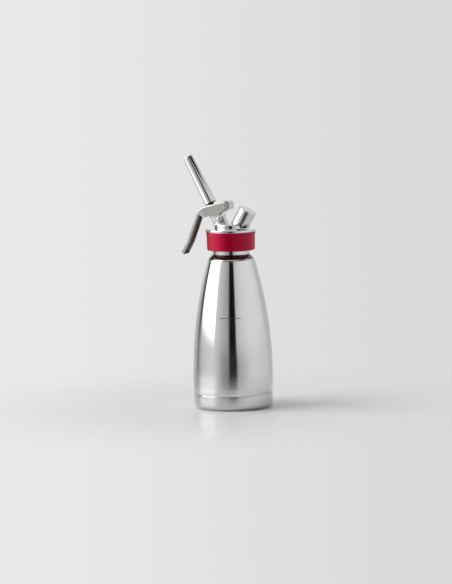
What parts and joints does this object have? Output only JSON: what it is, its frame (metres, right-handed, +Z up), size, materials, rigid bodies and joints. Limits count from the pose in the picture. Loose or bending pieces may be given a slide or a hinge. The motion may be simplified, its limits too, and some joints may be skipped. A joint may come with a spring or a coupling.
{
  "type": "whipped cream dispenser",
  "caption": "Vacuum-walled whipped cream dispenser with a screw-on head, hand lever over a slanted spring valve, long tapered nozzle and capped gas charger neck.",
  "frame": {"origin": "centre of the base, on the surface that the bottle stands on", "axes": "+Z up the bottle's axis; -X towards the lever and nozzle; +X towards the charger neck"},
  "size_m": [0.1179, 0.1024, 0.3235],
  "materials": {
    "mirror_steel": "mirror-polished stainless steel",
    "satin_steel": "satin stainless steel",
    "inner_steel": "plain stainless steel",
    "spring_steel": "bright spring wire",
    "getter_alloy": "dull pressed disc",
    "band_silicone": "satin dark red silicone",
    "seal_silicone": "pale translucent silicone",
    "seal_black": "black nitrile rubber",
    "liner_plastic": "white plastic"
  },
  "bodies": {
    "bottle": {"outer_shell": "mirror_steel", "base_cup": "satin_steel", "vacuum_plate": "inner_steel", "vacuum_seal_bead": "inner_steel", "getter_disc": "getter_alloy", "inner_flask": "inner_steel", "neck_ring": "inner_steel"},
    "head_gasket": {"head_gasket": "seal_silicone"},
    "head": {"head_casting": "mirror_steel", "grip_band": "band_silicone", "lever_pin": "mirror_steel", "charger_nipple": "inner_steel", "piercing_pin": "inner_steel", "charger_seal": "seal_black", "check_cage": "inner_steel", "check_spring": "spring_steel", "valve_spring": "spring_steel"},
    "lever": {"lever": "satin_steel"},
    "valve": {"valve_stem": "inner_steel", "valve_seal": "seal_black", "stem_ring": "seal_black", "spring_collar": "inner_steel", "collar_clip": "spring_steel"},
    "nozzle_seal": {"nozzle_seal": "seal_black"},
    "nozzle": {"nozzle": "mirror_steel"},
    "cap_liner": {"cap_liner": "liner_plastic"},
    "charger_cap": {"charger_cap": "mirror_steel"},
    "check_disc": {"check_disc": "seal_black"}
  },
  "joints": [
    {"name": "head_rise", "type": "slide", "parent": "bottle", "child": "head_gasket", "axis": [0, 0, 1], "range_m": [0, 0.0225]},
    {"name": "head_turn", "type": "hinge", "parent": "head_gasket", "child": "head", "pos_m": [0, 0, 0.21], "axis": [0, 0, 1], "range_deg": [0, 1800]},
    {"name": "lever_squeeze", "type": "hinge", "parent": "head", "child": "lever", "pos_m": [-0.0042, 0, 0.2599], "axis": [0, -1, 0], "range_deg": [0, 9], "stiffness_Nm_per_rad": 3, "springref_deg": -8.59},
    {"name": "valve_press", "type": "slide", "parent": "head", "child": "valve", "axis": [0.4695, 0, -0.8829], "range_m": [0, 0.0032], "deforming": ["valve_spring"]},
    {"name": "nozzle_rise", "type": "slide", "parent": "valve", "child": "nozzle_seal", "axis": [-0.4695, 0, 0.8829], "range_m": [0, 0.009]},
    {"name": "nozzle_turn", "type": "hinge", "parent": "nozzle_seal", "child": "nozzle", "pos_m": [-0.0101, 0, 0.2293], "axis": [-0.4695, 0, 0.8829], "range_deg": [0, 2160]},
    {"name": "cap_rise", "type": "slide", "parent": "head", "child": "cap_liner", "axis": [0.509, 0, 0.8607], "range_m": [0, 0.015]},
    {"name": "cap_turn", "type": "hinge", "parent": "cap_liner", "child": "charger_cap", "pos_m": [0.0163, 0, 0.2392], "axis": [0.509, 0, 0.8607], "range_deg": [0, 2160]},
    {"name": "check_lift", "type": "slide", "parent": "head", "child": "check_disc", "axis": [-0.509, 0, -0.8607], "range_m": [0, 0.0008], "stiffness_N_per_m": 100, "springref_m": -0.002, "deforming": ["check_spring"]}
  ],
  "couplings": [
    {"joint": "head_rise", "follows": "head_turn", "m_per_rad": 0.00071619},
    {"joint": "valve_press", "follows": "lever_squeeze", "m_per_rad": 0.0201},
    {"joint": "nozzle_rise", "follows": "nozzle_turn", "m_per_rad": 0.00023873},
    {"joint": "cap_rise", "follows": "cap_turn", "m_per_rad": 0.00039788}
  ]
}
